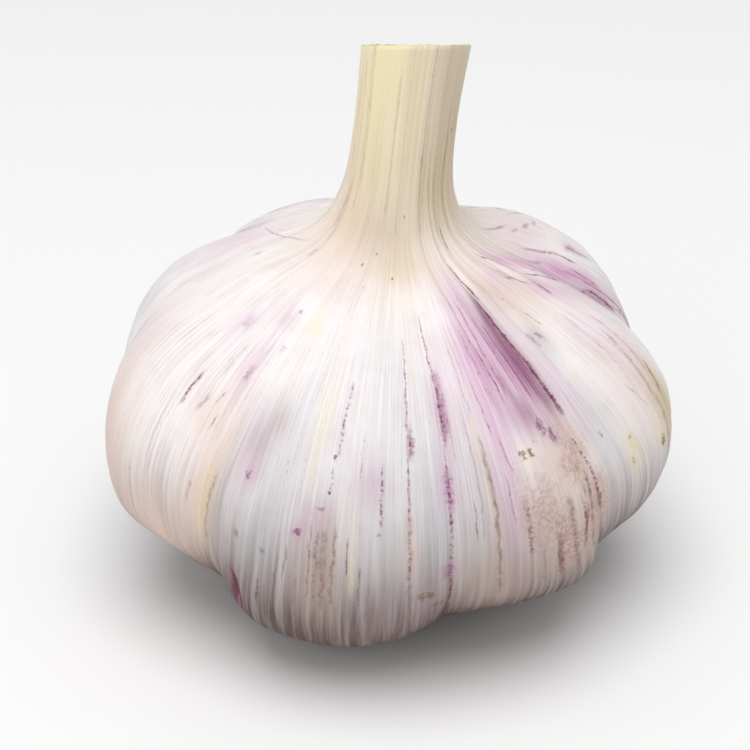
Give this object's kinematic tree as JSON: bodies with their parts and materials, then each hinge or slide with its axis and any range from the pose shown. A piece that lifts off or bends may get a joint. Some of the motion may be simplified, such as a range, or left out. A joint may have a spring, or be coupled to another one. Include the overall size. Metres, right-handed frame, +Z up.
{
  "type": "garlic bulb",
  "caption": "Whole garlic bulb: swollen clove lobes under papery white skins streaked with purple, a slanted cut neck on top and a corky root plate it stands on.",
  "frame": {"origin": "middle of the flat spot under the root plate that the bulb stands on", "axes": "+Z up through the neck, -Y towards the side that the picture shows, +X to the right of that side"},
  "size_m": [0.0616, 0.062, 0.063],
  "materials": {
    "skin": "dry papery skin, cream white with lilac and purple streaks, satin",
    "root": "corky, rough and matt"
  },
  "bodies": {
    "root": {"bulb": "skin", "root_plate": "root"}
  },
  "joints": []
}
